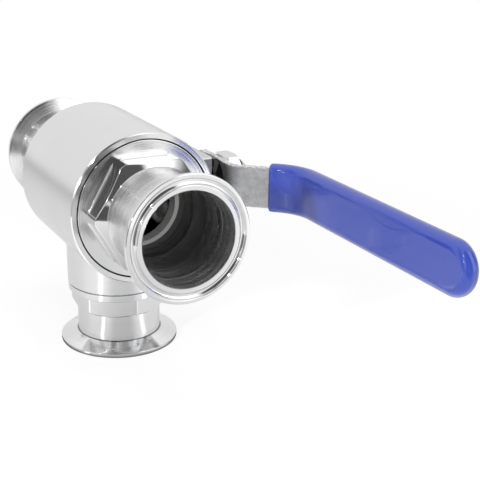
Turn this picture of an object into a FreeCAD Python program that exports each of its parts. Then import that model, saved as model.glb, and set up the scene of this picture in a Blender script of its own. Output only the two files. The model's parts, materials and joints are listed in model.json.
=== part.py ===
"""A hygienic three-way ball valve with clamp ferrules and a lever, as separate pieces.

Millimetres. The origin is the centre of the bottom port's face, +Z is up, the run lies along Y
with the front port towards -Y, and the stem comes out towards +X.
Lengths along a port or along the stem are counted from the ball's centre.
"""
import FreeCAD
import Part

import math
import os

from FreeCAD import Placement, Rotation, Vector

# The ball and its seats
axis_height = 85.0            # bottom port's face to the ball's centre
ball_port_radius = 19.0
ball_wall = 13.5              # port's edge to the sphere
seat_bore_step = 0.3          # a seat's bore stands back from the ball's port by this
seat_clearance = 0.3          # ball to seat
seat_width = 5.0              # port's edge to a seat's outer edge
seat_back_gap = 1.0           # ball's surface on the axis to a seat's flat back
seat_nose = 2.0               # slope at the outer edge of the sealing face
seat_fit = 0.2                # seat to its pocket
seat_pocket_depth = 7.5
seat_lip = 2.7                # how far a cap reaches in behind its seat

# The clamp ferrules
run_half_length = 91.0        # ball's centre to a run port's face
ferrule_radius = 32.0
ferrule_rim = 2.3
ferrule_back_angle = 20.0
groove_inset = 3.8            # rim to the middle of the gasket groove
groove_half_width = 1.8
groove_depth = 1.5
tube_bore_radius = 23.9
straight_bore_length = 25.0

# The body
ball_to_body = 1.0
body_wall = 6.0
seat_to_body_end = 6.0        # a run seat's back to the body's end
body_edge = 0.6               # chamfer round each end
rebate_depth = 6.0            # recess that takes a run cap's disc
rebate_step = 3.1             # from the bore out to the recess
boss_wall = 3.5
boss_rise = 10.8              # bottom boss, out from the tube's surface
pad_rise = 9.8                # stem pad, out from the tube's surface
pad_corner_radius = 1.5

# The run caps
disc_clearance = 0.7          # the dark ring between disc and body
disc_dish = 0.7               # the disc's face falls by this towards the hexagon
thread_clearance = 0.3        # spigot to the body's bore
run_hex_flats = 55.0
run_hex_turned_radius = 30.8  # the corners are turned to this
run_hex_length = 9.9          # body's end to where the hexagon's cone starts
run_hex_cone_angle = 60.0     # from the run's axis
run_neck_wall = 1.6
body_seal_thickness = 1.0

# The bottom cap
bottom_bore_step = 0.6        # the cap's bore stands back from the ball's port by this
bottom_seal_thickness = 0.8
bottom_seal_inset = 1.5       # seal's edge in from the boss's edge
bottom_disc_inset = 0.3
bottom_disc_thickness = 3.7
bottom_hex_flats = 45.6
bottom_hex_length = 8.25
bottom_hex_cone_angle = 60.0
bottom_neck_wall = 3.0
bottom_mouth_depth = 7.0

# The stem and its packing
stem_radius = 8.0
stem_running_clearance = 0.05
stem_flats = 12.0             # across the two flats that turn the lever
stem_projection = 5.3         # past the lever nut
stem_end_chamfer = 1.0
tang_width = 7.6
tang_half_length = 9.4
tang_depth = 7.9              # how far it reaches into the ball
slot_clearance = 0.2
collar_step = 2.5             # from the stem out to its collar
collar_gap = 0.7              # ball to collar
collar_thickness = 1.7
thrust_washer_thickness = 1.8
washer_clearance = 0.3        # face to face, between the pieces that turn and those that don't
recess_clearance = 0.3
o_ring_depth = 2.5            # above the shoulder that the thrust washer bears on
o_ring_section_radius = 0.8
o_ring_groove_width = 3.0      # over the section's radius
o_ring_groove_depth = 2.1      # over the section's radius
packing_wall = 5.0            # shoulder to the packing chamber's floor
packing_width = 4.0
packing_fit = 0.2
packing_ring_thickness = 1.7
packing_vee = 0.8
packing_vee_rings = 2
follower_length = 3.4
disc_spring_thickness = 0.8
disc_spring_rise = 0.8
nut_flats = 24.0
nut_thread_clearance = 0.15
nut_chamfer_angle = 30.0
stem_nut_thickness = 4.4

# The lever
lever_thickness = 4.0
lever_half_width = 11.5
lever_edge_radius = 1.0
lever_tail = 22.5             # behind the stem
lever_tail_corner = 8.0
lever_bend_start = 16.1       # in front of the stem
lever_bend_angle = 51.0
lever_bend_radius = 9.0
lever_return_radius = 26.0
lever_offset = 28.8           # middle of the flat by the stem to the middle of the grip
grip_end = 186.0              # tip of the grip, in front of the stem
grip_wall = 2.1               # over the lever's edges
grip_face_wall = 2.6          # over its faces, where the dip runs thicker
grip_cover = 13.4             # how much of the offset the grip covers
grip_lip_radius = 2.0
grip_edge_share = 0.98        # edge radius over half the thickness
lever_hole_clearance = 0.1
lock_washer_thickness = 0.8
lock_washer_tab_width = 9.0
lock_washer_tab_height = 4.0
lever_nut_thickness = 8.0
lever_nut_gap = 0.1           # nut's flat to the washer's bent tab

# The stop
stop_pin_radius = 1.6
stop_pin_depth = 5.0          # how far it is set into the pad
stop_pin_edge = 0.4
stop_pin_fit = 0.05
stop_pin_margin = 2.6         # pin's middle to the pad's edge
stop_clearance = 0.3          # pin to the lever's edge at either end of its travel

# Sizes that follow, across the axes
ball_radius = ball_port_radius + ball_wall
seat_radius = ball_port_radius + seat_width
body_bore_radius = ball_radius + ball_to_body
body_radius = body_bore_radius + body_wall
rebate_radius = body_bore_radius + rebate_step
run_neck_radius = tube_bore_radius + run_neck_wall
groove_radius = ferrule_radius - groove_inset
seat_bore_radius = ball_port_radius + seat_bore_step
seat_lip_radius = seat_radius - seat_lip
boss_radius = seat_radius + boss_wall
bottom_bore_radius = ball_port_radius + bottom_bore_step
bottom_neck_radius = bottom_bore_radius + bottom_neck_wall
packing_chamber_radius = stem_radius + packing_width
collar_radius = stem_radius + collar_step
stop_pin_offset = lever_half_width + stop_clearance + stop_pin_radius
pad_half_width = stop_pin_offset + stop_pin_margin

# Sizes that follow, out from the ball's centre
seat_back = ball_radius + seat_back_gap
spigot_end = seat_back - seat_pocket_depth
body_half_length = seat_back + seat_to_body_end
rebate_floor = body_half_length - rebate_depth
run_hex_cone_start = body_half_length + run_hex_length
boss_length = body_radius + boss_rise
bottom_disc_back = boss_length + bottom_seal_thickness
bottom_hex_base = bottom_disc_back + bottom_disc_thickness
bottom_hex_cone_start = bottom_hex_base + bottom_hex_length
tang_end = ball_radius - tang_depth
collar_start = ball_radius + collar_gap
collar_end = collar_start + collar_thickness
stem_shoulder = collar_end + washer_clearance + thrust_washer_thickness
o_ring_place = stem_shoulder + o_ring_depth
packing_floor = stem_shoulder + packing_wall
packing_top = packing_floor + (1 + packing_vee_rings) * packing_ring_thickness
pad_face = body_radius + pad_rise
springs_start = packing_top + follower_length + washer_clearance
springs_end = springs_start + 2 * (disc_spring_rise + disc_spring_thickness)
lever_inner_face = springs_end + stem_nut_thickness
lever_outer_face = lever_inner_face + lever_thickness
lever_nut_start = lever_outer_face + lock_washer_thickness
lever_nut_end = lever_nut_start + lever_nut_thickness
stem_end = lever_nut_end + stem_projection
lever_middle = lever_inner_face + lever_thickness / 2
grip_offset = lever_middle + lever_offset
grip_start_offset = grip_offset - grip_cover

BALL_CENTRE = Vector(0, 0, axis_height)
FRONT = Vector(0, -1, 0)
REAR = Vector(0, 1, 0)
DOWN = Vector(0, 0, -1)
STEM = Vector(1, 0, 0)
AXIS = Vector(1, 0, 0)


class Section:
    """A closed half section beside an axis: a runs along the axis, r out from it."""

    def __init__(self, a, r):
        self.start = self.here = Vector(a, r, 0)
        self.edges = []

    def line(self, a, r):
        end = Vector(a, r, 0)
        self.edges.append(Part.LineSegment(self.here, end).toShape())
        self.here = end
        return self

    def arc(self, middle, end):
        middle, end = Vector(*middle, 0), Vector(*end, 0)
        self.edges.append(Part.Arc(self.here, middle, end).toShape())
        self.here = end
        return self

    def turn(self):
        """The solid that the section sweeps out in a whole turn about the axis."""
        if self.here.distanceToPoint(self.start) > 1e-9:
            self.line(self.start.x, self.start.y)
        return Part.Face(Part.Wire(self.edges)).revolve(Vector(), AXIS, 360)


def ring(inner, outer, a_start, a_end):
    return Section(a_start, inner).line(a_start, outer).line(a_end, outer).line(a_end, inner).turn()


def rod(radius, a_start, a_end):
    return Part.makeCylinder(radius, a_end - a_start, Vector(a_start, 0, 0), AXIS)


def hexagonal_bar(across_flats, a_start, a_end):
    """A hexagon with two flats level and two corners at the sides."""
    corner = across_flats / math.sqrt(3)
    turns = [math.radians(60 * step) for step in range(7)]
    corners = [Vector(a_start, corner * math.cos(t), corner * math.sin(t)) for t in turns]
    return Part.Face(Part.makePolygon(corners)).extrude(AXIS * (a_end - a_start))


def box_between(low, high):
    size = high - low
    return Part.makeBox(size.x, size.y, size.z, low)


def aimed(shape, direction):
    """The shape, made along the axis from zero, set out from the ball's centre."""
    placed = shape.copy()
    placed.Placement = Placement(BALL_CENTRE, Rotation(AXIS, direction))
    return placed


def tidy(shape):
    """The shape without the seams that joining leaves."""
    return shape.removeSplitter()


def sphere_offset(radius, r):
    """How far along a port's axis a sphere's surface lies at a distance r from the axis."""
    return math.sqrt(radius ** 2 - r ** 2)


# Ball and seats

def ball():
    sphere = Part.makeSphere(ball_radius)
    through = Part.makeCylinder(ball_port_radius, 2 * ball_radius, Vector(0, 0, -ball_radius))
    branch = Part.makeCylinder(ball_port_radius, ball_radius, Vector(), FRONT)
    slot_half = tang_width / 2 + slot_clearance
    slot_floor = tang_end - slot_clearance
    slot = box_between(Vector(slot_floor, -ball_radius, -slot_half),
                       Vector(ball_radius + 1, ball_radius, slot_half))
    bored = sphere.cut([through, branch, slot])
    bored.translate(BALL_CENTRE)
    return bored


def seat():
    """A ring with a hollow sealing face that follows the ball."""
    face_radius = ball_radius + seat_clearance
    lip_radius = seat_radius - seat_nose
    middle_radius = (seat_bore_radius + lip_radius) / 2
    lip = sphere_offset(face_radius, lip_radius)
    section = Section(seat_back, seat_bore_radius).line(seat_back, seat_radius)
    section.line(lip + seat_nose, seat_radius).line(lip, lip_radius)
    section.arc((sphere_offset(face_radius, middle_radius), middle_radius),
                (sphere_offset(face_radius, seat_bore_radius), seat_bore_radius))
    return section.turn()


# Ferrules and caps

def ferrule(neck_start, neck_radius, face):
    """Neck, sloping back and rim of a clamp ferrule, with the gasket groove in its face."""
    slope = (ferrule_radius - neck_radius) * math.tan(math.radians(ferrule_back_angle))
    rim_back = face - ferrule_rim
    section = Section(neck_start, 0).line(neck_start, neck_radius)
    section.line(rim_back - slope, neck_radius).line(rim_back, ferrule_radius)
    section.line(face, ferrule_radius).line(face, groove_radius + groove_half_width)
    section.arc((face - groove_depth, groove_radius), (face, groove_radius - groove_half_width))
    section.line(face, 0)
    return section.turn()


def hexagon(across_flats, turned_radius, base, chamfer_start, neck_radius, chamfer_angle):
    """Wrench flats between a disc and a neck, with turned corners and a conical front."""
    chamfer = (turned_radius - neck_radius) / math.tan(math.radians(chamfer_angle))
    blank = Section(base, 0).line(base, turned_radius).line(chamfer_start, turned_radius)
    blank.line(chamfer_start + chamfer, neck_radius).line(chamfer_start + chamfer, 0)
    return blank.turn().common(hexagonal_bar(across_flats, base, chamfer_start + chamfer))


def run_cap():
    """Front or rear cap: it screws into the body and holds a seat against the ball."""
    disc_radius = rebate_radius - disc_clearance
    disc_back = rebate_floor + body_seal_thickness
    spigot_radius = body_bore_radius - thread_clearance
    hex_base = body_half_length - disc_dish
    outside = Section(spigot_end, 0).line(spigot_end, spigot_radius)
    outside.line(disc_back, spigot_radius).line(disc_back, disc_radius)
    outside.line(body_half_length, disc_radius).line(hex_base, run_hex_turned_radius)
    outside.line(hex_base, 0)
    flats = hexagon(run_hex_flats, run_hex_turned_radius, hex_base - 1,
                    run_hex_cone_start, run_neck_radius, run_hex_cone_angle)
    neck = ferrule(run_hex_cone_start, run_neck_radius, run_half_length)
    straight_end = run_half_length - straight_bore_length
    pocket_radius = seat_radius + seat_fit
    inside = Section(spigot_end - 1, 0).line(spigot_end - 1, pocket_radius)
    inside.line(seat_back, pocket_radius).line(seat_back, seat_lip_radius)
    inside.line(straight_end, tube_bore_radius).line(run_half_length + 1, tube_bore_radius)
    inside.line(run_half_length + 1, 0)
    return tidy(outside.turn().fuse([flats, neck]).cut(inside.turn()))


def bottom_cap():
    """Third port: its spigot pushes the bottom seat up through the boss."""
    hex_corner_radius = bottom_hex_flats / math.sqrt(3)
    spigot = rod(seat_radius, seat_back, bottom_hex_base)
    disc = rod(boss_radius - bottom_disc_inset, bottom_disc_back, bottom_hex_base)
    flats = hexagon(bottom_hex_flats, hex_corner_radius, bottom_hex_base,
                    bottom_hex_cone_start, bottom_neck_radius, bottom_hex_cone_angle)
    neck = ferrule(bottom_hex_base, bottom_neck_radius, axis_height)
    mouth = axis_height - bottom_mouth_depth
    inside = Section(seat_back - 1, 0).line(seat_back - 1, bottom_bore_radius)
    inside.line(mouth, bottom_bore_radius).line(axis_height, tube_bore_radius)
    inside.line(axis_height + 1, tube_bore_radius).line(axis_height + 1, 0)
    return tidy(spigot.fuse([disc, flats, neck]).cut(inside.turn()))


# Body

def body_shell():
    tube = Section(-body_half_length, 0).line(-body_half_length, body_radius - body_edge)
    tube.line(-body_half_length + body_edge, body_radius)
    tube.line(body_half_length - body_edge, body_radius)
    tube.line(body_half_length, body_radius - body_edge).line(body_half_length, 0)
    pad = box_between(Vector(0, -pad_half_width, -pad_half_width),
                      Vector(pad_face, pad_half_width, pad_half_width))
    corners = [edge for edge in pad.Edges if abs(edge.tangentAt(0).x) > 0.9]
    pad = pad.makeFillet(pad_corner_radius, corners)
    boss = rod(boss_radius, 0, boss_length)
    block = aimed(tube.turn(), FRONT).fuse([aimed(boss, DOWN), aimed(pad, STEM)])
    run_bore = rod(body_bore_radius, -body_half_length, body_half_length)
    rebate = rod(rebate_radius, rebate_floor, body_half_length + 1)
    seat_bore = rod(seat_radius + thread_clearance, 0, boss_length + 1)
    stem_recess = rod(collar_radius + 2 * recess_clearance, 0, stem_shoulder)
    stem_bore = rod(stem_radius + stem_running_clearance, 0, pad_face)
    packing_chamber = rod(packing_chamber_radius, packing_floor, pad_face + 1)
    hollows = [aimed(run_bore, FRONT), aimed(rebate, FRONT), aimed(rebate, REAR)]
    hollows += [aimed(seat_bore, DOWN), aimed(stem_recess, STEM), aimed(stem_bore, STEM)]
    hollows += [aimed(packing_chamber, STEM), stop_pin_bar(stop_pin_radius + stop_pin_fit)]
    return tidy(block.cut(hollows))


def stop_pin_bar(radius):
    """The stop pin's bar: both edges that strike it lie the same way off the stem's axis."""
    start = pad_face - stop_pin_depth
    foot = BALL_CENTRE + Vector(start, -stop_pin_offset, -stop_pin_offset)
    return Part.makeCylinder(radius, lever_outer_face - start, foot, STEM)


def stop_pin():
    pin = stop_pin_bar(stop_pin_radius)
    rims = [edge for edge in pin.Edges if isinstance(edge.Curve, Part.Circle)]
    return pin.makeChamfer(stop_pin_edge, rims)


def run_body_seal():
    inner = body_bore_radius + thread_clearance
    outer = rebate_radius - disc_clearance
    return ring(inner, outer, rebate_floor, rebate_floor + body_seal_thickness)


def bottom_body_seal():
    inner = seat_radius + thread_clearance
    return ring(inner, boss_radius - bottom_seal_inset, boss_length, bottom_disc_back)


# Stem and packing

def stem():
    """Tang, collar, turned shaft with the O-ring's groove, and the end with two flats."""
    tang = box_between(Vector(tang_end, -tang_half_length, -tang_width / 2),
                       Vector(collar_start, tang_half_length, tang_width / 2))
    tang = tang.common(rod(tang_half_length, tang_end, collar_start))
    groove_half = o_ring_groove_width * o_ring_section_radius / 2
    groove_floor = stem_radius - o_ring_groove_depth * o_ring_section_radius
    shaft = Section(collar_start, 0).line(collar_start, collar_radius)
    shaft.line(collar_end, collar_radius).line(collar_end, stem_radius)
    shaft.line(o_ring_place - groove_half, stem_radius)
    shaft.line(o_ring_place - groove_half, groove_floor)
    shaft.line(o_ring_place + groove_half, groove_floor)
    shaft.line(o_ring_place + groove_half, stem_radius)
    shaft.line(stem_end - stem_end_chamfer, stem_radius)
    shaft.line(stem_end, stem_radius - stem_end_chamfer).line(stem_end, 0)
    turned = shaft.turn()
    for side in (-1, 1):
        flat = box_between(Vector(0, -stem_radius, 0), Vector(stem_end, stem_radius, stem_radius))
        flat.translate(Vector(lever_inner_face, 0, stem_flats / 2))
        flat.rotate(Vector(), AXIS, 90 * side)
        turned = turned.cut(flat)
    return aimed(tidy(turned.fuse(tang)), STEM)


def stem_o_ring():
    middle = stem_radius - o_ring_section_radius
    torus = Part.makeTorus(middle, o_ring_section_radius, Vector(o_ring_place, 0, 0), AXIS)
    return aimed(torus, STEM)


def thrust_washer():
    inner = stem_radius + washer_clearance
    outer = collar_radius + recess_clearance
    washer = ring(inner, outer, stem_shoulder - thrust_washer_thickness, stem_shoulder)
    return aimed(washer, STEM)


def packing_piece(base, base_vee, top, top_vee):
    """A packing ring whose lower and upper faces rise by a vee at mid width."""
    inner = stem_radius + 2 * stem_running_clearance
    outer = packing_chamber_radius - packing_fit
    middle = (inner + outer) / 2
    section = Section(base, inner).line(base + base_vee, middle).line(base, outer)
    section.line(top, outer).line(top + top_vee, middle).line(top, inner)
    return aimed(section.turn(), STEM)


def packing():
    """Header ring on the chamber's floor, then the vee rings, each seated on the one below."""
    pieces = {}
    base = packing_floor
    pieces["packing_header"] = packing_piece(base, 0, base + packing_ring_thickness, packing_vee)
    for number in range(1, packing_vee_rings + 1):
        base += packing_ring_thickness
        pieces["packing_ring_%d" % number] = packing_piece(
            base, packing_vee, base + packing_ring_thickness, packing_vee)
    return pieces


def packing_follower():
    return packing_piece(packing_top, packing_vee, packing_top + follower_length, 0)


def disc_springs():
    """Two dished washers back to back: the lower one rises inwards, the upper one outwards."""
    inner = stem_radius + washer_clearance
    outer = packing_chamber_radius
    pieces = {}
    low = springs_start
    for number, (inner_rise, outer_rise) in enumerate(((disc_spring_rise, 0), (0, disc_spring_rise)), 1):
        section = Section(low + inner_rise, inner).line(low + outer_rise, outer)
        section.line(low + outer_rise + disc_spring_thickness, outer)
        section.line(low + inner_rise + disc_spring_thickness, inner)
        pieces["disc_spring_%d" % number] = aimed(section.turn(), STEM)
        low += disc_spring_rise + disc_spring_thickness
    return pieces


def hexagon_nut(start, end):
    """A nut on the stem's thread, with both ends chamfered to the flats."""
    corner_radius = nut_flats / math.sqrt(3)
    fall = (corner_radius - nut_flats / 2) * math.tan(math.radians(nut_chamfer_angle))
    hole = stem_radius + nut_thread_clearance
    blank = Section(start, hole).line(start, nut_flats / 2).line(start + fall, corner_radius)
    blank.line(end - fall, corner_radius).line(end, nut_flats / 2).line(end, hole)
    return aimed(blank.turn().common(hexagonal_bar(nut_flats, start, end)), STEM)


def stem_nut():
    return hexagon_nut(springs_end, lever_inner_face)


# Lever and grip

def bar_section(half_thickness, half_width, edge_radius):
    """A rounded rectangle across the lever: X is its thickness and Z its width."""
    x, z, r = half_thickness, half_width, edge_radius
    sharp = [Vector(-x, 0, -z), Vector(x, 0, -z), Vector(x, 0, z), Vector(-x, 0, z)]
    block = Part.Face(Part.makePolygon(sharp + sharp[:1])).extrude(Vector(0, 1, 0))
    block = block.makeFillet(r, [edge for edge in block.Edges if abs(edge.tangentAt(0).y) > 0.9])
    return next(face for face in block.Faces if abs(face.CenterOfMass.y) < 1e-6)


def slope_ends():
    """Both ends of the lever's sloping run, between its two bends."""
    angle = math.radians(lever_bend_angle)
    start = Vector(lever_middle + lever_bend_radius * (1 - math.cos(angle)),
                   -lever_bend_start - lever_bend_radius * math.sin(angle), 0)
    end_offset = grip_offset - lever_return_radius * (1 - math.cos(angle))
    end = Vector(end_offset, start.y - (end_offset - start.x) / math.tan(angle), 0)
    return BALL_CENTRE + start, BALL_CENTRE + end


def return_steps():
    """The bend back and the straight run that the grip covers, up to the round end's centre."""
    slope_end = slope_ends()[1]
    bend_end_y = slope_end.y - lever_return_radius * math.sin(math.radians(lever_bend_angle))
    end_centre_y = -(grip_end - grip_wall - lever_half_width)
    return [("bend", -lever_return_radius), ("run", bend_end_y - end_centre_y)]


def lever_steps():
    """Where the lever's tail starts, and its straight runs and bends from there."""
    slope_start, slope_end = slope_ends()
    tail = BALL_CENTRE + Vector(lever_middle, lever_tail, 0)
    steps = [("run", lever_tail + lever_bend_start), ("bend", lever_bend_radius),
             ("run", slope_start.distanceToPoint(slope_end))]
    return Placement(tail, Rotation()), steps + return_steps()


def grip_steps():
    """The same path from the grip's mouth, which is on the sloping run."""
    slope_start, slope_end = slope_ends()
    share = (grip_start_offset - slope_start.x) / (slope_end.x - slope_start.x)
    mouth = slope_start + (slope_end - slope_start) * share
    steps = [("run", mouth.distanceToPoint(slope_end))]
    return Placement(mouth, Rotation(Vector(0, 0, 1), lever_bend_angle)), steps + return_steps()


def bent_bar(section, place, steps):
    """The section carried along runs and bends and closed by a round end. It heads for local -Y."""
    pieces = []
    for kind, size in steps:
        face = section.copy()
        face.Placement = place
        if kind == "run":
            step = place.Rotation.multVec(Vector(0, -size, 0))
            pieces.append(face.extrude(step))
            place = Placement(place.Base + step, place.Rotation)
        else:
            centre = place.multVec(Vector(size, 0, 0))
            angle = math.copysign(lever_bend_angle, size)
            pieces.append(face.revolve(centre, Vector(0, 0, 1), angle))
            turn = Rotation(Vector(0, 0, 1), angle)
            place = Placement(centre + turn.multVec(place.Base - centre), turn.multiply(place.Rotation))
    box = section.BoundBox
    upper_half = section.common(box_between(Vector(box.XMin, -1, 0), Vector(box.XMax, 1, box.ZMax)))
    end = upper_half.Faces[0]
    end.Placement = place
    pieces.append(end.revolve(place.Base, place.Rotation.multVec(AXIS), 180))
    return tidy(pieces[0].fuse(pieces[1:]))


def lever_bar():
    section = bar_section(lever_thickness / 2, lever_half_width, lever_edge_radius)
    bar = bent_bar(section, *lever_steps())
    tail_low = BALL_CENTRE + Vector(lever_inner_face - 1, -2 * grip_end, -lever_half_width)
    tail_high = BALL_CENTRE + Vector(2 * grip_offset, lever_tail, lever_half_width)
    outline = box_between(tail_low, tail_high)
    corners = [edge for edge in outline.Edges
               if abs(edge.tangentAt(0).x) > 0.9 and edge.CenterOfMass.y > 0]
    return bar.common(outline.makeFillet(lever_tail_corner, corners))


def flatted_hole(start, end):
    """The hole that fits over the stem's two flats."""
    hole = rod(stem_radius + lever_hole_clearance, start, end)
    half = stem_flats / 2 + lever_hole_clearance
    slab = box_between(Vector(start, -half, -2 * stem_radius), Vector(end, half, 2 * stem_radius))
    return aimed(hole.common(slab), STEM)


def lever():
    return lever_bar().cut(flatted_hole(lever_inner_face - 1, lever_outer_face + 1))


def grip():
    """Dipped vinyl sleeve: a flat oval skin round the lever."""
    half_thickness = lever_thickness / 2 + grip_face_wall
    section = bar_section(half_thickness, lever_half_width + grip_wall, grip_edge_share * half_thickness)
    place, steps = grip_steps()
    sleeve = bent_bar(section, place, steps)
    heading = place.Rotation.multVec(Vector(0, -1, 0))
    mouth = [edge for edge in sleeve.Edges
             if all(abs((v.Point - place.Base).dot(heading)) < 1e-4 for v in edge.Vertexes)]
    sleeve = sleeve.makeFillet(grip_lip_radius, mouth)
    return sleeve.cut(lever_bar())


def lock_washer():
    """Flat washer on the lever, with one tab bent up against a flat of the nut."""
    start, end = lever_outer_face, lever_nut_start
    tab_half = lock_washer_tab_width / 2
    tab_inside = -(nut_flats / 2 + lever_nut_gap)
    tab_outside = tab_inside - lock_washer_thickness
    disc = rod(nut_flats / 2, start, end)
    tongue = box_between(Vector(start, -tab_half, tab_outside), Vector(end, tab_half, 0))
    tab = box_between(Vector(start, -tab_half, tab_outside),
                      Vector(end + lock_washer_tab_height, tab_half, tab_inside))
    washer = aimed(disc.fuse([tongue, tab]), STEM)
    return tidy(washer.cut(flatted_hole(start - 1, end + 1)))


def lever_nut():
    return hexagon_nut(lever_nut_start, lever_nut_end)


def pieces():
    """Every piece by its name."""
    found = {
        "body_shell": body_shell(),
        "front_cap": aimed(run_cap(), FRONT),
        "rear_cap": aimed(run_cap(), REAR),
        "bottom_cap": aimed(bottom_cap(), DOWN),
        "front_seat": aimed(seat(), FRONT),
        "rear_seat": aimed(seat(), REAR),
        "bottom_seat": aimed(seat(), DOWN),
        "front_body_seal": aimed(run_body_seal(), FRONT),
        "rear_body_seal": aimed(run_body_seal(), REAR),
        "bottom_body_seal": aimed(bottom_body_seal(), DOWN),
        "thrust_washer": thrust_washer(),
        "packing_follower": packing_follower(),
        "stop_pin": stop_pin(),
        "ball": ball(),
        "stem": stem(),
        "stem_o_ring": stem_o_ring(),
        "stem_nut": stem_nut(),
        "lever": lever(),
        "grip": grip(),
        "lock_washer": lock_washer(),
        "lever_nut": lever_nut(),
    }
    found.update(packing())
    found.update(disc_springs())
    return found


os.makedirs("parts", exist_ok=True)
for name, shape in pieces().items():
    shape.exportStep("parts/%s.step" % name)
    print("%-18s solids %d  valid %s  volume %.1f mm3"
          % (name, len(shape.Solids), shape.isValid(), shape.Volume))
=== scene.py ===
# %% [markdown]
# A hygienic three-way ball valve, dressed for its portrait
#
# The valve's pieces come ready made, at their real size, and nothing here moves or resizes them.
# This lesson gives them their surfaces, swaps the plain turned solids for ones with the small
# rounded edges that polishing leaves, and sets up the studio that mirror-bright steel needs.
# All lengths are metres. The run lies along Y with the front port towards -Y, the bottom port
# stands on the floor at the origin, and the stem comes out towards +X.

import json
import math

import bmesh
import bpy
from mathutils import Matrix, Vector


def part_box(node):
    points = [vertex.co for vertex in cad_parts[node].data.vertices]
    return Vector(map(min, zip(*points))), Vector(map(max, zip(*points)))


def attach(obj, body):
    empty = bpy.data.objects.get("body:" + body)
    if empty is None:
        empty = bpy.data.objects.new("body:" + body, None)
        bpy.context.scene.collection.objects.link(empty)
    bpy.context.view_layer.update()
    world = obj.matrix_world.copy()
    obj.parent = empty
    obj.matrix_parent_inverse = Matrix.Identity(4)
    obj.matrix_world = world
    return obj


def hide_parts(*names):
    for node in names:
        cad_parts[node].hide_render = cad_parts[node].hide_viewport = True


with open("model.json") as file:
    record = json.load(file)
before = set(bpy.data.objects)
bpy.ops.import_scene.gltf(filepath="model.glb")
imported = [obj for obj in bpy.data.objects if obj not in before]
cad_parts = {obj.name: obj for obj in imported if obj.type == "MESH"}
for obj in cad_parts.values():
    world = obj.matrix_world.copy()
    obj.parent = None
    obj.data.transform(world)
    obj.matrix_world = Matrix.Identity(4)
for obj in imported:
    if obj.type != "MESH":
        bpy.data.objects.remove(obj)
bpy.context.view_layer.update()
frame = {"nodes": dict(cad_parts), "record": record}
nodes = frame["nodes"]

# %% [markdown]
# The middle of the valve
#
# Everything is placed from the solids themselves. The two run caps are alike, so the middle of the
# box round both is the middle of the ball, where the run, the stem and the bottom port meet. Sizes
# on the drawing are millimetres from there, and MM turns them into metres.

# %% Find the middle of the valve
MM = 0.001
CENTRE = (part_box("front_cap")[0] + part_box("rear_cap")[1]) / 2
print("ball centre", tuple(round(x, 4) for x in CENTRE))

# %% [markdown]
# The camera
#
# The photograph looks down on the valve from its front left. The view was worked out from the
# round rims of the three ferrules, which show as ellipses: their places and tilts fix where the
# lens stands and how long it is. The three directions below are the camera's own axes.

# %% Set the camera
camera_place = Vector((-0.19546, -0.49666, 0.24592))
camera_right = Vector((0.88000, -0.47466, 0.01713))
camera_up = Vector((0.14525, 0.30327, 0.94177))
camera_back = Vector((-0.45221, -0.82627, 0.33582))
lens = bpy.data.cameras.new("camera")
lens.lens = 77.24
lens.sensor_width = 36.0
camera = bpy.data.objects.new("camera", lens)
bpy.context.scene.collection.objects.link(camera)
turn = Matrix((camera_right, camera_up, camera_back)).transposed().to_quaternion()
camera.matrix_world = Matrix.Translation(camera_place) @ turn.to_matrix().to_4x4()
bpy.context.scene.camera = camera
bpy.context.scene.view_settings.view_transform = "Standard"
print("camera is", round((camera_place - CENTRE).length, 3), "m from the ball")

# %% [markdown]
# Sums with sockets
#
# A finish is a sum of masks, noises and colours. Written out as single nodes that is hard to read,
# so one small class wraps a number socket and lets Python's own signs build the Math nodes. All
# other nodes come from one method, which takes a node's type, its settings and its inputs.


# %% Node helpers
class Number:
    """A number socket that Python's operators work on. Each one adds a Math node."""

    def __init__(self, kit, socket):
        self.kit = kit
        self.socket = socket

    def __add__(self, other):
        return self.kit.maths("ADD", self, other)

    __radd__ = __add__

    def __mul__(self, other):
        return self.kit.maths("MULTIPLY", self, other)

    __rmul__ = __mul__

    def __sub__(self, other):
        return self.kit.maths("SUBTRACT", self, other)

    def __rsub__(self, other):
        return self.kit.maths("SUBTRACT", other, self)

    def __truediv__(self, other):
        return self.kit.maths("DIVIDE", self, other)

    def __abs__(self):
        return self.kit.maths("ABSOLUTE", self)

    def clamped(self):
        return self.kit.maths("ADD", self, 0.0, clamp=True)

    def smooth(self, low, high):
        """0 below low, 1 above high, with a soft step between. low may be the larger."""
        settings = {"interpolation_type": "SMOOTHSTEP"}
        made = self.kit.node("ShaderNodeMapRange", settings, Value=self,
                             From_Min=low, From_Max=high)
        return Number(self.kit, made.outputs[0])


class Nodes:
    """A node tree that is filled through one method."""

    def __init__(self, tree):
        self.tree = tree

    def node(self, kind, settings=None, *values, **named):
        """A node of that type: its settings first, then its sockets by order or by name."""
        made = self.tree.nodes.new(kind)
        for key, value in (settings or {}).items():
            setattr(made, key, value)
        for index, value in enumerate(values):
            self.feed(made.inputs[index], value)
        for key, value in named.items():
            self.feed(made.inputs[key.replace("_", " ")], value)
        return made

    def feed(self, socket, value):
        if isinstance(value, Number):
            value = value.socket
        if isinstance(value, bpy.types.NodeSocket):
            self.tree.links.new(value, socket)
        else:
            socket.default_value = value

    def number(self, socket):
        return Number(self, socket)

    def maths(self, operation, *values, clamp=False):
        settings = {"operation": operation, "use_clamp": clamp}
        return self.number(self.node("ShaderNodeMath", settings, *values).outputs[0])

    def reach(self, x, y):
        """How far a point is from the origin of a plane."""
        return self.maths("SQRT", x * x + y * y)

    def apart(self, vector):
        """The three numbers of a vector."""
        split = self.node("ShaderNodeSeparateXYZ", None, vector)
        return [self.number(split.outputs[name]) for name in "XYZ"]

    def together(self, x, y, z):
        return self.node("ShaderNodeCombineXYZ", None, x, y, z).outputs[0]


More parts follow.
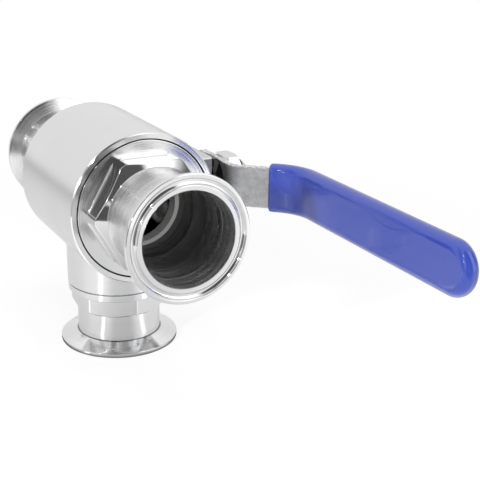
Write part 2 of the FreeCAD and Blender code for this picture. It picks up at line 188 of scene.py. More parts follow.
class Shader(Nodes):
    """The node tree of a material or of the world."""

    def __init__(self, owner):
        owner.use_nodes = True
        owner.node_tree.nodes.clear()
        super().__init__(owner.node_tree)

    def place(self):
        """Where a point is on the object, in metres."""
        return self.node("ShaderNodeTexCoord").outputs["Object"]

    def noise(self, scale, detail=2.0, roughness=0.5, vector=None):
        made = self.node("ShaderNodeTexNoise", {"normalize": True}, Vector=vector or self.place(),
                         Scale=scale, Detail=detail, Roughness=roughness)
        return self.number(made.outputs[0])

    def mixed(self, factor, first, second):
        """A colour between two."""
        made = self.node("ShaderNodeMix", {"data_type": "RGBA"})
        self.feed(made.inputs[0], factor)
        self.feed(made.inputs[6], first)
        self.feed(made.inputs[7], second)
        return made.outputs[2]

    def shaded(self, colour, tone):
        """A colour times a number."""
        return self.node("ShaderNodeVectorMath", {"operation": "SCALE"}, colour[:3],
                         Scale=tone).outputs[0]

    def bump(self, height, strength, distance):
        return self.node("ShaderNodeBump", None, Strength=strength, Distance=distance,
                         Height=height).outputs[0]

    def diffuse(self, value):
        return self.node("ShaderNodeBsdfDiffuse", None, Color=grey(value)).outputs[0]

    def glow(self, strength):
        return self.node("ShaderNodeEmission", None, Color=grey(1.0), Strength=strength).outputs[0]

    def both(self, first, second):
        return self.node("ShaderNodeAddShader", None, first, second).outputs[0]

    def either(self, factor, first, second):
        """The first surface where the factor is 0, and the second where it is 1."""
        return self.node("ShaderNodeMixShader", None, factor, first, second).outputs[0]

    def finish(self, surface, kind="ShaderNodeOutputMaterial"):
        self.node(kind, None, Surface=surface)


def grey(value):
    return (value, value, value, 1)


def band(value, low, high, soft):
    """1 where the value is between low and high, with soft ends."""
    return value.smooth(low - soft, low + soft) * value.smooth(high + soft, high - soft)


print("helpers", Number.__name__, Nodes.__name__, Shader.__name__)

# %% [markdown]
# The room
#
# Polished steel has no colour of its own to speak of. It shows the room, so the room is the
# finish. Following each bright and dark patch on the caps back to where it comes from gives the
# room: light walls, a tall lamp and a dark screen on the left, a large soft box with a screen
# beyond it on the right, and a dark part in front, where the photographer stands.
# The world shader paints all that by direction, for glossy rays only. The camera sees plain white,
# and matt surfaces get an even grey to which the lamps are added.

# %% Paint the room
WALL = 0.90
CEILING = 0.16                              # what the walls gain from 25 to 50 degrees up
MATT_LIGHT = 0.30                           # the even grey that matt surfaces get
# A card is light that is added to the wall, from and to across, from and to up, and the softness
# of its edge. Across counts from the front port towards the stem. All angles are degrees.
LEFT_CARDS = (
    (-0.32, -84, -58, -40, 60, 5),          # wall behind the tall lamp
    (-0.72, -104, -84, -40, 58, 4),         # dark screen to the left of it
)
DARK_PART = (0.89, -57, 13, -40, 73, 4)     # takes away a share of the light instead
OTHER_CARDS = (
    (0.22, -30, 12, -40, -1, 3),            # floor below the photographer
    (0.80, -42, -14, 2, 6, 2),              # low strip of light
    (3.50, -65, -61, 4, 26, 2),             # tall lamp
    (1.10, 20, 53, -40, 62, 4),             # soft box
    (-0.75, 61, 82, 4, 38, 5),              # dark screen to the right of it
)


def across_angle(kit, x, y):
    """A level direction's angle from the front port towards the stem."""
    return kit.maths("ARCTAN2", x, 0.0 - y) * math.degrees(1)


def card(across, up, left, right, low, high, soft):
    """1 inside a patch of the room and 0 outside."""
    return band(across, left, right, soft) * band(up, low, high, soft)


def paint_room():
    world = bpy.data.worlds.new("studio")
    bpy.context.scene.world = world
    room = Shader(world)
    x, y, z = room.apart(room.node("ShaderNodeTexCoord").outputs["Generated"])
    across = across_angle(room, x, y)
    up = room.maths("ARCTAN2", z, room.reach(x, y)) * math.degrees(1)
    tone = WALL + CEILING * up.smooth(25, 50)
    for light, *patch in LEFT_CARDS:
        tone = tone + light * card(across, up, *patch)
    share, *patch = DARK_PART
    tone = tone * (1.0 - share * card(across, up, *patch))
    for light, *patch in OTHER_CARDS:
        tone = tone + light * card(across, up, *patch)
    seen = room.node("ShaderNodeCombineColor", None, tone, tone, tone).outputs[0]
    paths = room.node("ShaderNodeLightPath").outputs
    matt = room.mixed(paths["Is Glossy Ray"], grey(MATT_LIGHT), seen)
    colour = room.mixed(paths["Is Camera Ray"], matt, grey(1.0))
    back = room.node("ShaderNodeBackground", None, Color=colour, Strength=1.0)
    room.finish(back.outputs[0], "ShaderNodeOutputWorld")


paint_room()
print("cards", len(LEFT_CARDS) + 1 + len(OTHER_CARDS))

# %% [markdown]
# The lamps
#
# Plastic, rubber and the blasted strip need real light with a direction. The strongest lamp stands
# to the left, some 18 degrees up: the shadow that the front port throws on the grip shows that.
# The painted room already holds what steel shows of the large lamps, so steel doesn't see these
# ones, apart from two sparks that are small enough to glint on an edge.


# %% Hang the lamps
def soft_lamp(name, place, width, height, power, in_steel=False):
    """A rectangular lamp that looks at the ball. Steel mirrors it only where in_steel is set."""
    lamp = bpy.data.lights.new(name, "AREA")
    lamp.shape = "RECTANGLE"
    lamp.size = width
    lamp.size_y = height
    lamp.energy = power
    item = bpy.data.objects.new(name, lamp)
    bpy.context.scene.collection.objects.link(item)
    item.location = place
    item.rotation_mode = "QUATERNION"
    item.rotation_quaternion = (CENTRE - Vector(place)).to_track_quat("-Z", "Y")
    item.visible_glossy = in_steel


soft_lamp("overhead_box", (0.15, 0.10, 1.15), width=0.75, height=0.60, power=2.6)
soft_lamp("right_box", (0.75, -0.85, 0.75), width=0.60, height=0.60, power=2.4)
soft_lamp("front_box", (-0.22, -1.10, 0.36), width=0.30, height=0.30, power=2.6)
soft_lamp("key_box", (-0.832, -0.461, 0.394), width=0.10, height=0.10, power=4.0)
soft_lamp("left_spark", (-0.842, -0.467, 0.394), width=0.06, height=0.06, power=0.5, in_steel=True)
soft_lamp("top_spark", (-0.587, -0.475, 0.741), width=0.06, height=0.06, power=0.5, in_steel=True)

# %% [markdown]
# The table
#
# The camera meets a white card that keeps a little of the valve's shadow and fades into the white
# behind it, and matt surfaces meet a plain light one. Steel sees a table with its light painted
# on: stripes of painted reflection, as a smooth table would mirror the tall lamp and the soft box,
# that point at the valve, a painted shadow in the narrow gap under the bottom ferrule's rim, and a
# round edge that ends it in front.

# %% Lay the table
TABLE_HALF = 3.0
TABLE_REACH = 0.36               # the round edge's distance from the bottom port
TABLE_EDGE = 0.01                # half the width of its blur
SHADOW_FADE = (0.12, 0.45)       # from the shadow's card to the white behind it
# Painted shadow: the table is dimmed for steel in the gap under the rim.
FOOT_SHADOW = (0.0325, 0.036)    # the gap under the rim
TABLE_TONE = 0.34
# Painted reflections, as light that is added: from and to across in degrees, and the softness of
# the sides.
PAINTED_TABLE_REFLECTIONS = (
    (1.0, -61, -55, 2),          # tall lamp
    (0.55, 27, 37, 3),           # soft box
    (-0.26, -40, 12, 10),        # dark part in front
    (-0.08, -185, -95, 8),       # dark screen on the left
)


def table_for_lens(paint, away):
    card_and_shadow = paint.both(paint.diffuse(0.30), paint.glow(0.79))
    return paint.either(away.smooth(*SHADOW_FADE), card_and_shadow, paint.glow(1.0))


def table_for_steel(paint, across, away, matt):
    tone = TABLE_TONE
    # Painted reflection: stripes of light and dark on the table, seen by steel only.
    for light, *sides in PAINTED_TABLE_REFLECTIONS:
        tone = tone + light * band(across, *sides)
    lit = paint.both(matt, paint.glow(tone))
    # Painted shadow: a dim grey in the narrow gap under the bottom ferrule's rim.
    shown = paint.either(away.smooth(*FOOT_SHADOW), paint.diffuse(0.30), lit)
    past_edge = away.smooth(TABLE_REACH - TABLE_EDGE, TABLE_REACH + TABLE_EDGE)
    gone = paint.node("ShaderNodeBsdfTransparent").outputs[0]
    return paint.either(band(across, -112, 14, 3) * past_edge, shown, gone)


def lay_table():
    mesh = bpy.data.meshes.new("table")
    corners = [(TABLE_HALF * x, TABLE_HALF * y, 0) for x, y in ((-1, -1), (1, -1), (1, 1), (-1, 1))]
    mesh.from_pydata(corners, [], [(0, 1, 2, 3)])
    table = bpy.data.objects.new("table", mesh)
    bpy.context.scene.collection.objects.link(table)
    table_finish = bpy.data.materials.new("white_table")
    paint = Shader(table_finish)
    x, y, _ = paint.apart(paint.place())
    away = paint.reach(x, y)
    paths = paint.node("ShaderNodeLightPath").outputs
    matt = paint.diffuse(0.80)
    for_steel = table_for_steel(paint, across_angle(paint, x, y), away, matt)
    seen = paint.either(paths["Is Glossy Ray"], matt, for_steel)
    paint.finish(paint.either(paths["Is Camera Ray"], seen, table_for_lens(paint, away)))
    mesh.materials.append(table_finish)


lay_table()
print("table stripes", len(PAINTED_TABLE_REFLECTIONS))

# %% [markdown]
# Turned and polished steel
#
# A turned face is not a perfect mirror: the tool and then the polishing mop leave rings too fine
# to see, which smear a reflection outwards from the axis and draw it into soft streaks. The rings
# here are a noise that only reads how far along the axis and how far out a point lies, so it is
# the same all the way round, and a Bump node turns it into tiny slopes. The bores are turned but
# hardly polished, so their rings are far coarser. Little light comes back out of them, so their
# grey is darkened with painted shade, most deep inside.

# %% Make turned steel
RING_HEIGHT = 0.03 * MM
FINE_RINGS, BROAD_RINGS = 4200.0, 420.0
NOWHERE = (-2.0, -1.0)
BORE_RINGS = 40.0
DISC_RINGS = 0.5


def new_finish(name):
    made = bpy.data.materials.new(name)
    return made, Shader(made)


def coat(paint, **sockets):
    """Ends a finish with the shader of its surface."""
    paint.finish(paint.node("ShaderNodeBsdfPrincipled", None, **sockets).outputs[0])


def polish(paint, colour, tone, roughness, height):
    coat(paint, Base_Color=paint.shaded(colour, tone), Metallic=1.0, Roughness=roughness,
         Normal=paint.bump(height, 1.0, RING_HEIGHT))


def along_and_out(paint, axis):
    """How far a point is along a turning axis through the ball, and how far out from it."""
    x, y, z = paint.apart(paint.place())
    x, y, z = x - CENTRE.x, y - CENTRE.y, z - CENTRE.z
    along, side, other = {"X": (x, y, z), "Y": (y, x, z), "Z": (z, x, y)}[axis]
    return along, paint.reach(side, other)


def rings(paint, along, out):
    """Tool marks, fine and broad: heights that are the same all the way round the axis."""
    place = paint.together(along, out, 0.0)
    return (paint.noise(FINE_RINGS, 1.0, vector=place), paint.noise(BROAD_RINGS, vector=place))


def turned_finish(name, axis, colour, bore, milled=NOWHERE, brushed=NOWHERE, smear=1.0, painted_shade_lines=()):
    """Turned steel, with sizes in millimetres from the ball.

    bore is the bore's radius and how far in its last part reaches, which has the darkest painted
    shade. The flats between the two distances in milled have hardly any rings, the disc behind
    them has a few, and the neck between those in brushed has as many as smear says. Each dark line
    is painted shade between two distances: in a gap or at the foot of a slope.
    """
    made, paint = new_finish(name)
    along, out = along_and_out(paint, axis)
    fine, broad = rings(paint, along, out)
    length = abs(along)
    inside = out.smooth((bore[0] + 0.2) * MM, (bore[0] - 0.2) * MM)
    deep = inside * length.smooth((bore[1] + 6.0) * MM, bore[1] * MM)
    flats = band(length, milled[0] * MM, milled[1] * MM, 0.2 * MM)
    neck = band(length, brushed[0] * MM, brushed[1] * MM, 0.4 * MM)
    disc = length.smooth((milled[0] + 0.1) * MM, milled[0] * MM) * (1.0 - inside)
    cloud = paint.noise(55.0, 3.0)
    coarse = BORE_RINGS * inside + smear * neck + DISC_RINGS * disc
    height = fine * (0.4 + coarse) * (1.0 - 0.8 * flats) + broad * 0.5
    roughness = 0.05 + 0.04 * cloud + 0.08 * inside + 0.04 * smear * neck
    # Painted shade: the bore is darker, and darkest deep inside.
    tone = (1.0 - 0.05 * cloud - 0.05 * broad) * (1.0 - 0.60 * inside) * (1.0 - 0.3 * deep)
    # Painted shade: each dark line darkens a gap or the foot of a slope.
    for low, high, strength in painted_shade_lines:
        line = band(length, low * MM, high * MM, 0.1 * MM) * (1.0 - inside)
        tone = tone * (1.0 - strength * line)
    polish(paint, colour, tone, roughness, height)
    return made


STEEL = grey(0.80)
# The dark lines are painted shade: the gap round each disc, and on the bottom cap the foot of the
# neck's slope.
run_steel = turned_finish("turned_run_steel", "Y", STEEL, (24.1, 60.0), milled=(39.7, 49.3),
                          brushed=(52.8, 88.6), smear=2.2, painted_shade_lines=((30.0, 39.1, 0.97),))
bottom_steel = turned_finish("turned_bottom_steel", "Z", STEEL, (20.0, 40.0),
                             milled=(55.2, 62.8), brushed=(65.5, 78.5), smear=0.8,
                             painted_shade_lines=((30.0, 51.0, 0.97), (79.0, 79.5, 0.75)))
# Painted shade: the ball's steel is a darker grey, for it sits in the shade inside the body.
ball_steel = turned_finish("polished_ball_steel", "Z", grey(0.50), NOWHERE)
stem_steel = turned_finish("turned_stem_steel", "X", grey(0.62), NOWHERE)
nut_steel = turned_finish("machined_nut_steel", "X", grey(0.74), (8.3, 90.0))
# Painted shade: this near-black steel on the stem nut, the disc springs and the thread stands for
# the shade round the stem.
painted_shade_steel = turned_finish("painted_shade_steel", "X", grey(0.025), NOWHERE)
print("turned steels", [made.name for made in bpy.data.materials if "steel" in made.name])

# %% [markdown]
# The body
#
# The body is turned twice, about the run and about the bottom port, so its rings change direction
# where the boss begins. Its stem pad is milled and not polished, and painted shade darkens it a
# little, and its side that faces the front port more. The narrow gaps round the three caps are
# deep, and no light comes back out of them: their dark rings are painted shade.

# %% Make the body's steel
BODY_END = 39.4         # where the end faces begin, inside the small chamfer
GAP_OUTSIDE = 36.7      # the recess round a run cap's disc
BOSS_END = -50.2
BOSS_GAP_OUTSIDE = 27.2
PAD_START = 42.0        # out along the stem
# The pad's side that faces the front port gets painted shade.
PAD_SIDE = -15.8        # the side that faces the front port


def body_finish(name, colour):
    made, paint = new_finish(name)
    along_run, out_of_run = along_and_out(paint, "Y")
    along_port, out_of_port = along_and_out(paint, "Z")
    run_fine, run_broad = rings(paint, along_run, out_of_run)
    port_fine, port_broad = rings(paint, along_port, out_of_port)
    on_boss = (along_port.smooth(-39.0 * MM, -39.4 * MM) * out_of_port.smooth(28.0 * MM, 27.7 * MM)
               * out_of_run.smooth(39.6 * MM, 39.8 * MM))
    end = abs(along_run)
    end_face = end.smooth((BODY_END - 0.2) * MM, BODY_END * MM)
    run_height = (run_fine * (1.4 - 1.0 * end_face) + 0.6 * run_broad) * (1.0 - on_boss)
    height = run_height + (1.4 * port_fine + 0.6 * port_broad) * on_boss
    run_gap = (band(end, 20.0 * MM, (BODY_END - 0.15) * MM, 0.1 * MM)
               * out_of_run.smooth((GAP_OUTSIDE + 0.1) * MM, GAP_OUTSIDE * MM)
               * out_of_run.smooth(30.0 * MM, 33.0 * MM))
    boss_gap = (along_port.smooth((BOSS_END + 0.1) * MM, BOSS_END * MM)
                * out_of_port.smooth((BOSS_GAP_OUTSIDE + 0.2) * MM, BOSS_GAP_OUTSIDE * MM))
    gap = (run_gap + boss_gap).clamped()
    cloud = paint.noise(38.0, 4.0, 0.6)
    x, y, _ = paint.apart(paint.place())
    pad = x.smooth(CENTRE.x + PAD_START * MM, CENTRE.x + (PAD_START + 2.0) * MM)
    side = pad * y.smooth(CENTRE.y + PAD_SIDE * MM, CENTRE.y + (PAD_SIDE - 0.15) * MM)
    # Painted shade: the gaps round the caps turn nearly black, the stem pad a little darker, and
    # the pad's side that faces the front port darker still.
    tone = (1.0 - 0.06 * cloud) * (1.0 - 0.97 * gap) * (1.0 - 0.15 * pad - 0.50 * side)
    roughness = 0.05 + 0.10 * (1.0 - end_face) + 0.05 * cloud + 0.6 * gap + 0.25 * pad
    polish(paint, colour, tone, roughness, height)
    return made


body_steel = body_finish("turned_body_steel", STEEL)
print("body", len(body_steel.node_tree.nodes), "nodes")

# %% [markdown]
# The strip, the plastics and the rubber
#
# The lever is cut from sheet and blasted, so its faces are matte with fine grain. The shears leave
# its edges brighter and torn. The grip is dipped in vinyl: a soft blue body under a wet-looking
# skin that is never quite even. Seats and packing are white plastic, and the O-ring is rubber.

# %% Make the other finishes
STRIP_EDGE = (10.7, 11.2)    # from the strip's middle line to where the sheared edge begins


def blasted_steel():
    made, paint = new_finish("blasted_steel")
    from_middle = abs(paint.apart(paint.place())[2] - CENTRE.z)
    edge = from_middle.smooth(STRIP_EDGE[0] * MM, STRIP_EDGE[1] * MM)
    grain = paint.noise(1500.0, 3.0, 0.7)
    blotch = paint.noise(260.0, 3.0, 0.6)
    tear = paint.noise(700.0, 3.0, 0.7).smooth(0.35, 0.65)
    face = paint.mixed((grain * 0.6 + blotch * 0.6).smooth(0.35, 0.8), grey(0.46), grey(0.70))
    sheared = paint.mixed(tear, grey(0.45), grey(0.95))
    coat(paint, Base_Color=paint.mixed(edge, face, sheared), Metallic=0.9,
         Roughness=0.34 + 0.22 * grain,
         Normal=paint.bump(grain + blotch + 1.5 * edge * tear, 0.6, 0.05 * MM))
    return made


def moulded(name, colour, roughness, grain, ripple=0.0, **skin):
    """Plastic or rubber. ripple is the strength of its uneven skin."""
    made, paint = new_finish(name)
    if ripple:
        skin["Normal"] = paint.bump(paint.noise(90.0, 2.0), ripple, 0.3 * MM)
    coat(paint, Base_Color=colour, Roughness=roughness + 0.1 * paint.noise(grain), **skin)
    return made


finishes = {
    "polished_steel": body_steel,
    "polished_ball": ball_steel,
    "turned_steel": stem_steel,
    "lever_steel": blasted_steel(),
    "ptfe": moulded("white_ptfe", (0.90, 0.90, 0.88, 1), 0.35, 400.0),
    "grip_vinyl": moulded("blue_vinyl", (0.036, 0.072, 0.46, 1), 0.25, 300.0, ripple=0.25,
                          Coat_Weight=0.8, Coat_Roughness=0.03),
    "o_ring_rubber": moulded("black_rubber", grey(0.03), 0.5, 300.0),
}
slot_of = {part["node"]: part["material_slot"] for part in frame["record"]["subparts"]}
for name, node in nodes.items():
    node.data.materials.clear()
    # The disc springs get the near-black steel of painted shade.
    node.data.materials.append(painted_shade_steel if "spring" in name else finishes[slot_of[name]])
print("finishes", len(bpy.data.materials))

# %% [markdown]
# Turning pieces on a lathe of nodes
#
# The three caps and the nuts are bar stock on a lathe: a profile is swept round an axis, and a
# mill then cuts six flats. Geometry Nodes can do the same. The profile is a curve of corners, each
# with the small radius that polishing leaves on it. Fillet Curve rounds them, Curve to Mesh sweeps
# the profile round a tiny circle, and Set Position pulls every point that stands outside the
# hexagon in to its flat, with a soft minimum, so that the edge between flat and turned surface is
# rounded as well. Where the cone in front meets a flat, the curved edge of a real nut appears by
# itself. At its foot the mill leaves a small fillet, so the flat swings out there.

# %% Build the lathe
TINY_CIRCLE = 1e-6
CORNER_STEPS = 4
SIXTH = math.radians(60)


def geometry_tree(name, *inputs):
    tree = bpy.data.node_groups.new(name, "GeometryNodeTree")
    for title, kind in inputs:
        tree.interface.new_socket(title, in_out="INPUT", socket_type="NodeSocket" + kind)
    tree.interface.new_socket("Mesh", in_out="OUTPUT", socket_type="NodeSocketGeometry")
    kit = Nodes(tree)
    return tree, kit, kit.node("NodeGroupInput").outputs


def end_tree(kit, shape, material):
    real = kit.node("GeometryNodeRealizeInstances", None, shape.outputs[0])
    dressed = kit.node("GeometryNodeSetMaterial", None, real.outputs[0], Material=material)
    kit.node("NodeGroupOutput", None, dressed.outputs[0])


def lathe_tree():
    """Profile curve in, turned mesh out. X of the profile is out from the axis, -Y is along it."""
    tree, lathe, given = geometry_tree(
        "lathe", ("Profile", "Geometry"), ("Segments", "Int"), ("Across Flats", "Float"),
        ("Flats From", "Float"), ("Flats To", "Float"), ("Blank Radius", "Float"),
        ("Flat Edge Radius", "Float"), ("Foot", "Float"), ("Foot Radius", "Float"),
        ("Material", "Material"))
    radius = lathe.node("GeometryNodeInputRadius").outputs[0]
    rounded = lathe.node("GeometryNodeFilletCurve", {"mode": "POLY"}, Curve=given["Profile"],
                         Count=CORNER_STEPS, Radius=radius, Limit_Radius=True)
    path = lathe.node("GeometryNodeCurvePrimitiveCircle", {"mode": "RADIUS"},
                      Resolution=given["Segments"], Radius=TINY_CIRCLE)
    swept = lathe.node("GeometryNodeCurveToMesh", None, path.outputs[0], rounded.outputs[0])
    x, y, z = lathe.apart(lathe.node("GeometryNodeInputPosition").outputs[0])
    out = lathe.reach(x, y)
    turned = lathe.maths("ARCTAN2", y, x)
    off_middle = lathe.maths("FLOORED_MODULO", turned + SIXTH / 2, SIXTH) - SIXTH / 2
    foot_radius = lathe.number(given["Foot Radius"])
    down = ((lathe.number(given["Foot"]) + foot_radius - z) / foot_radius).clamped()
    level = lathe.maths("SQRT", 1.0 - down * down)
    to_flat = lathe.number(given["Across Flats"]) / 2 + foot_radius * (1.0 - level)
    flat = to_flat / lathe.maths("COSINE", off_middle)
    limited = lathe.maths("SMOOTH_MIN", out, flat, given["Flat Edge Radius"])
    cut = (lathe.maths("GREATER_THAN", z, given["Flats From"])
           * lathe.maths("LESS_THAN", z, given["Flats To"])
           * lathe.maths("LESS_THAN", out, given["Blank Radius"]))
    share = limited / out
    shaped = lathe.node("GeometryNodeSetPosition", None, Geometry=swept.outputs[0], Selection=cut,
                        Position=lathe.together(x * share, y * share, z))
    end_tree(lathe, shaped, given["Material"])
    return tree


LATHE = lathe_tree()
print("lathe nodes", len(LATHE.nodes))

# %% [markdown]
# From a tree to a piece
#
# A tree runs as a modifier on a blank object. Its result is copied into a mesh of its own, welded
# and turned to face outwards, and the blank is thrown away. A last touch weighs each shading
# normal by the size of the faces around it. Otherwise the slim faces of a rounded edge would bend
# the mirror of the large flat beside them.


# %% Turn a profile into a piece
def run_tree(name, data, tree, values):
    """The mesh that a tree makes of some data, with its inputs given by their names."""
    blank = bpy.data.objects.new(name + "_blank", data)
    bpy.context.scene.collection.objects.link(blank)
    modifier = blank.modifiers.new("tree", "NODES")
    modifier.node_group = tree
    for item in tree.interface.items_tree:
        if item.item_type == "SOCKET" and item.in_out == "INPUT" and item.name in values:
            modifier[item.identifier] = values[item.name]
    mesh = shown_mesh(blank)
    mesh.name = name
    bpy.data.objects.remove(blank)
    work = bmesh.new()
    work.from_mesh(mesh)
    bmesh.ops.remove_doubles(work, verts=work.verts, dist=1e-6)
    bmesh.ops.recalc_face_normals(work, faces=work.faces)
    work.to_mesh(mesh)
    work.free()
    return mesh


def shown_mesh(item):
    """A copy of the mesh that an object shows with its modifiers."""
    shown = item.evaluated_get(bpy.context.evaluated_depsgraph_get())
    return bpy.data.meshes.new_from_object(shown)


def new_piece(name, mesh):
    mesh.shade_smooth()
    piece = bpy.data.objects.new(name, mesh)
    bpy.context.scene.collection.objects.link(piece)
    return piece


def even_normals(piece):
    """Lets the large faces rule the shading, so that a small rounded edge doesn't bend it."""
    weigh = piece.modifiers.new("weigh", "WEIGHTED_NORMAL")
    weigh.mode = "FACE_AREA"
    weigh.weight = 100
    mesh = shown_mesh(piece)
    piece.modifiers.clear()
    piece.data = mesh


def profile_curve(name, profiles):
    """Closed outlines. X is out from the axis and -Y along it, and corners carry their radii."""
    curve = bpy.data.curves.new(name + "_profile", "CURVE")
    curve.dimensions = "3D"
    for profile in profiles:
        spline = curve.splines.new("POLY")
        spline.points.add(len(profile) - 1)
        for point, (along, out, corner) in zip(spline.points, profile):
            point.co = (out * MM, -along * MM, 0, 1)
            point.radius = corner * MM
        spline.use_cyclic_u = True
    return curve


NO_FOOT = (-90.0, 0.1)


def turned_piece(name, profiles, heading, flat_faces, flats, material, segments=288, edge=0.25,
                 foot=NO_FOOT):
    """Each profile is a closed list of (along, out, corner radius) in millimetres from the ball.

    flats gives the width across them, where they start and end along the axis and the radius of
    the blank that they are milled on. One of them faces flat_faces. foot is where they end on a
    disc, and the radius that the mill leaves there.
    """
    width, start, end, blank_radius = flats
    values = {"Across Flats": width, "Flats From": start, "Flats To": end,
              "Blank Radius": blank_radius, "Flat Edge Radius": edge,
              "Foot": foot[0], "Foot Radius": foot[1]}
    values = {title: value * MM for title, value in values.items()}
    mesh = run_tree(name, profile_curve(name, profiles), LATHE,
                    {**values, "Segments": segments, "Material": material})
    across, ahead = Vector(flat_faces), Vector(heading)
    turn = Matrix((across, ahead.cross(across), ahead)).transposed().to_4x4()
    mesh.transform(Matrix.Translation(CENTRE) @ turn)
    piece = new_piece(name, mesh)
    even_normals(piece)
    print(name, len(piece.data.polygons), "faces")
    return piece


def put_on(piece, body, node):
    """Lets a piece ride on a body in the place of one of its nodes."""
    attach(piece, body)
    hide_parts(node)


print("lathe inputs", [item.name for item in LATHE.interface.items_tree if item.in_out == "INPUT"])

# %% [markdown]
# The caps
#
# Each run cap screws into the body. From the inside out it is a spigot with the seat's pocket, a
# flush disc, a hexagon with turned corners and a sloping front, a neck, and the clamp ferrule with
# its gasket groove. The disc and the hexagon are profiles of their own that pass through each
# other, so that the line where a flat leaves the disc stays crisp. The corner radii catch the
# light as thin bright lines. The bottom cap is the same idea with a smaller hexagon and a
# narrower neck.

# %% Draw the caps' profiles
FERRULE_RADIUS = 32.0
FERRULE_RIM = 2.3
GROOVE = (28.2, 1.8, 1.5)    # radius, half width and depth
TUBE_BORE = 23.9
RUN_FACE, RUN_NECK = 91.0, 25.5
RUN_DISC_FACE, RUN_HEX_RADIUS = 39.5, 30.8
BOTTOM_FACE, BOTTOM_NECK, BOTTOM_BORE = 85.0, 22.6, 19.6
BOTTOM_DISC_FACE, BOTTOM_HEX_RADIUS = 54.8, 26.05


def stretch(start, end, count):
    """Extra profile points between two corners, so that a flat can cut in smoothly."""
    steps = [(k + 1) / (count + 1) for k in range(count)]
    return [(start[0] + (end[0] - start[0]) * t, start[1] + (end[1] - start[1]) * t, 0.0)
            for t in steps]


def hexagon_corners(base, radius, foot, cone_start, cone_end):
    """The blank of a hexagon: its base is hidden in the disc, and its front slopes to the neck."""
    low, high = foot - 0.1, foot + 1.5
    corners = [(base, radius, 0.0), (low, radius, 0.0)]
    corners += stretch((low, radius), (high, radius), 11) + [(high, radius, 0.0)]
    corners += stretch((high, radius), (cone_start, radius), 6) + [(cone_start, radius, 0.3)]
    return corners + stretch((cone_start, radius), cone_end, 14) + [(*cone_end, 0.3)]


def gasket_groove(face, count=10):
    """The rounded groove in a ferrule's face, between its two lips, going inwards."""
    radius, half_width, depth = GROOVE
    points = []
    for k in range(count + 1):
        share = 1 - 2 * k / count
        lip = 0.4 if k in (0, count) else 0.0
        points.append((face - depth * (1 - share * share) ** 0.7, radius + half_width * share, lip))
    return points


def ferrule_corners(face, neck, slope_start):
    """From the neck's end over the sloping back and the rim to the bore's mouth."""
    points = [(slope_start, neck, 0.3), (face - FERRULE_RIM, FERRULE_RADIUS, 0.35),
              (face, FERRULE_RADIUS, 0.4)]
    return points + gasket_groove(face) + [(face, TUBE_BORE, 0.35)]


def run_cap_profiles():
    """The disc with its spigot, and the hexagon with all that is in front of it."""
    spigot_end, pocket_floor, disc_back, disc_edge = 26.0, 33.5, 34.5, 39.38
    pocket, spigot, disc_radius, seat_lip = 24.2, 33.2, 35.9, 21.3
    disc = [(spigot_end, pocket, 0.3), (spigot_end, spigot, 0.8), (disc_back, spigot, 0.2),
            (disc_back, disc_radius, 0.2), (disc_edge, disc_radius, 0.3),
            (RUN_DISC_FACE, 30.5, 0.0), (RUN_DISC_FACE, 25.0, 0.0), (pocket_floor, 25.0, 0.0),
            (pocket_floor, pocket, 0.2)]
    front = [(pocket_floor, seat_lip, 0.3), (pocket_floor, 25.2, 0.0), (37.4, 25.2, 0.0)]
    front += hexagon_corners(37.4, RUN_HEX_RADIUS, RUN_DISC_FACE, 49.4, (52.46, RUN_NECK))
    front += ferrule_corners(RUN_FACE, RUN_NECK, 86.33) + [(66.0, TUBE_BORE, 1.5)]
    return [disc, front]


def bottom_cap_profiles():
    """As for a run cap. The mouth narrows to the bore, which has no pocket for the seat."""
    spigot_end, disc_back, spigot, disc_radius = 33.5, 51.1, 24.0, 27.2
    disc = [(spigot_end, BOTTOM_BORE, 0.3), (spigot_end, spigot, 0.5), (disc_back, spigot, 0.2),
            (disc_back, disc_radius, 0.2), (BOTTOM_DISC_FACE, disc_radius, 0.4),
            (BOTTOM_DISC_FACE, 20.2, 0.0), (50.0, BOTTOM_BORE, 0.0)]
    front = [(50.0, BOTTOM_BORE, 0.0), (50.0, 21.0, 0.0), (54.2, 21.0, 0.0)]
    front += hexagon_corners(54.2, BOTTOM_HEX_RADIUS, BOTTOM_DISC_FACE, 63.05,
                             (65.2, BOTTOM_NECK))
    front += ferrule_corners(BOTTOM_FACE, BOTTOM_NECK, 79.28) + [(78.0, BOTTOM_BORE, 0.6)]
    return [disc, front]


print("run cap corners", [len(profile) for profile in run_cap_profiles()])
print("bottom cap corners", [len(profile) for profile in bottom_cap_profiles()])

# %% Turn the caps
for name, heading in (("front_cap", (0, -1, 0)), ("rear_cap", (0, 1, 0))):
    cap = turned_piece(name + "_turned", run_cap_profiles(), heading, (0, 0, 1),
                       (55.0, 37.0, 53.0, 30.9), run_steel, foot=(RUN_DISC_FACE, 1.2))
    put_on(cap, "valve_body", name)
cap = turned_piece("bottom_cap_turned", bottom_cap_profiles(), (0, 0, -1), (1, 0, 0),
                   (45.6, 54.0, 66.0, 26.5), bottom_steel, foot=(BOTTOM_DISC_FACE, 0.5))
put_on(cap, "valve_body", "bottom_cap")

# %% [markdown]
# The nuts
#
# The stem carries two nuts, one on the disc springs and one on the lever. Both ends of a nut are
# turned to a cone that cuts its six corners, and that is why each flat ends in a soft arc. Their
# places are read from the solids that they stand in for.

# %% Turn the nuts
NUT_FLATS = 24.0
NUT_HOLE = 8.15
NUT_SLOPE = math.radians(30)


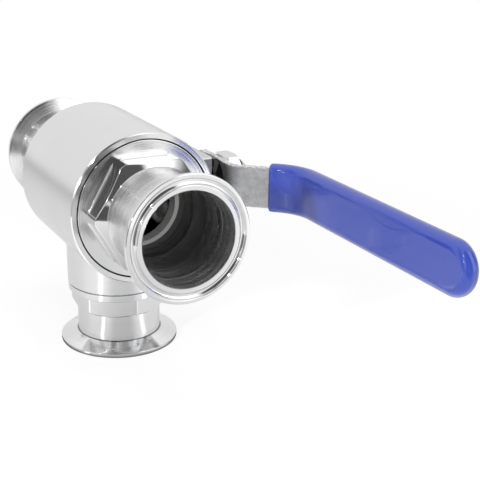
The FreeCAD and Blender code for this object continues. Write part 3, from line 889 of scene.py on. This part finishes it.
def nut_profile(start, end):
    """A blank as wide as the corners, with both ends sloping down to the flats' circle."""
    corner = NUT_FLATS / math.sqrt(3)
    flat = NUT_FLATS / 2
    fall = (corner - flat) * math.tan(NUT_SLOPE)
    rise, drop = (start + fall, corner), (end - fall, corner)
    profile = [(start, NUT_HOLE, 0.3), (start, flat, 0.1)]
    profile += stretch((start, flat), rise, 6) + [(*rise, 0.15)]
    profile += stretch(rise, drop, 4) + [(*drop, 0.15)]
    return profile + stretch(drop, (end, flat), 6) + [(end, flat, 0.1), (end, NUT_HOLE, 0.4)]


def along_stem(node):
    """Where a node starts and ends along the stem, in millimetres from the ball."""
    low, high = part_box(node)
    return (low.x - CENTRE.x) / MM, (high.x - CENTRE.x) / MM


# The stem nut gets the near-black steel of painted shade.
for name, finish in (("stem_nut", painted_shade_steel), ("lever_nut", nut_steel)):
    start, end = along_stem(name)
    nut = turned_piece(name + "_turned", [nut_profile(start, end)], (1, 0, 0), (0, 0, 1),
                       (NUT_FLATS, start - 1, end + 1, 14.2), finish, segments=144, edge=0.15)
    put_on(nut, "lever_and_ball", name)

# %% [markdown]
# The stem's thread
#
# Past the lever nut the end of the stem shows its thread. A thread is one ridge that follows a
# helix, so a thin bar with six sides is carried along a spiral curve and lies half sunk in the
# stem. The stem has two milled flats that turn the lever, and they cut the thread as well: every
# point past a flat is moved in.

# %% Cut the thread
THREAD_RADIUS = 7.85
THREAD_PITCH = 1.5
THREAD_RIDGE = 0.5
THREAD_HALF_FLATS = 5.95
THREAD_UNDER_NUT = 1.0       # it starts this far inside the nut
THREAD_END = 1.4             # and stops short of the stem's tip by this


def thread_tree():
    tree, mill, given = geometry_tree(
        "thread", ("Radius", "Float"), ("Pitch", "Float"), ("Length", "Float"),
        ("Ridge", "Float"), ("Half Flats", "Float"), ("Material", "Material"))
    turns = mill.number(given["Length"]) / given["Pitch"]
    helix = mill.node("GeometryNodeCurveSpiral", None, Resolution=48, Rotations=turns,
                      Start_Radius=given["Radius"], End_Radius=given["Radius"],
                      Height=given["Length"])
    ridge = mill.node("GeometryNodeCurvePrimitiveCircle", {"mode": "RADIUS"}, Resolution=6,
                      Radius=given["Ridge"])
    swept = mill.node("GeometryNodeCurveToMesh", None, helix.outputs[0], ridge.outputs[0], True)
    x, y, z = mill.apart(mill.node("GeometryNodeInputPosition").outputs[0])
    half = mill.number(given["Half Flats"])
    milled = mill.maths("MAXIMUM", mill.maths("MINIMUM", x, half), 0.0 - half)
    cut = mill.node("GeometryNodeSetPosition", None, Geometry=swept.outputs[0],
                    Position=mill.together(milled, y, z))
    end_tree(mill, cut, given["Material"])
    return tree


def stem_thread(start, end):
    values = {"Radius": THREAD_RADIUS, "Pitch": THREAD_PITCH, "Length": end - start,
              "Ridge": THREAD_RIDGE, "Half Flats": THREAD_HALF_FLATS}
    values = {title: value * MM for title, value in values.items()}
    # The thread gets the near-black steel of painted shade.
    mesh = run_tree("stem_thread", bpy.data.meshes.new("thread_blank"), thread_tree(),
                    {**values, "Material": painted_shade_steel})
    mesh.transform(Matrix.Translation(CENTRE + Vector((start * MM, 0, 0)))
                   @ Vector((1, 0, 0)).to_track_quat("Z", "Y").to_matrix().to_4x4())
    piece = new_piece("stem_thread", mesh)
    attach(piece, "lever_and_ball")
    return piece


nut_end = along_stem("lever_nut")[1]
stem_tip = along_stem("stem")[1]
thread = stem_thread(nut_end - THREAD_UNDER_NUT, stem_tip - THREAD_END)
print("thread faces", len(thread.data.polygons))
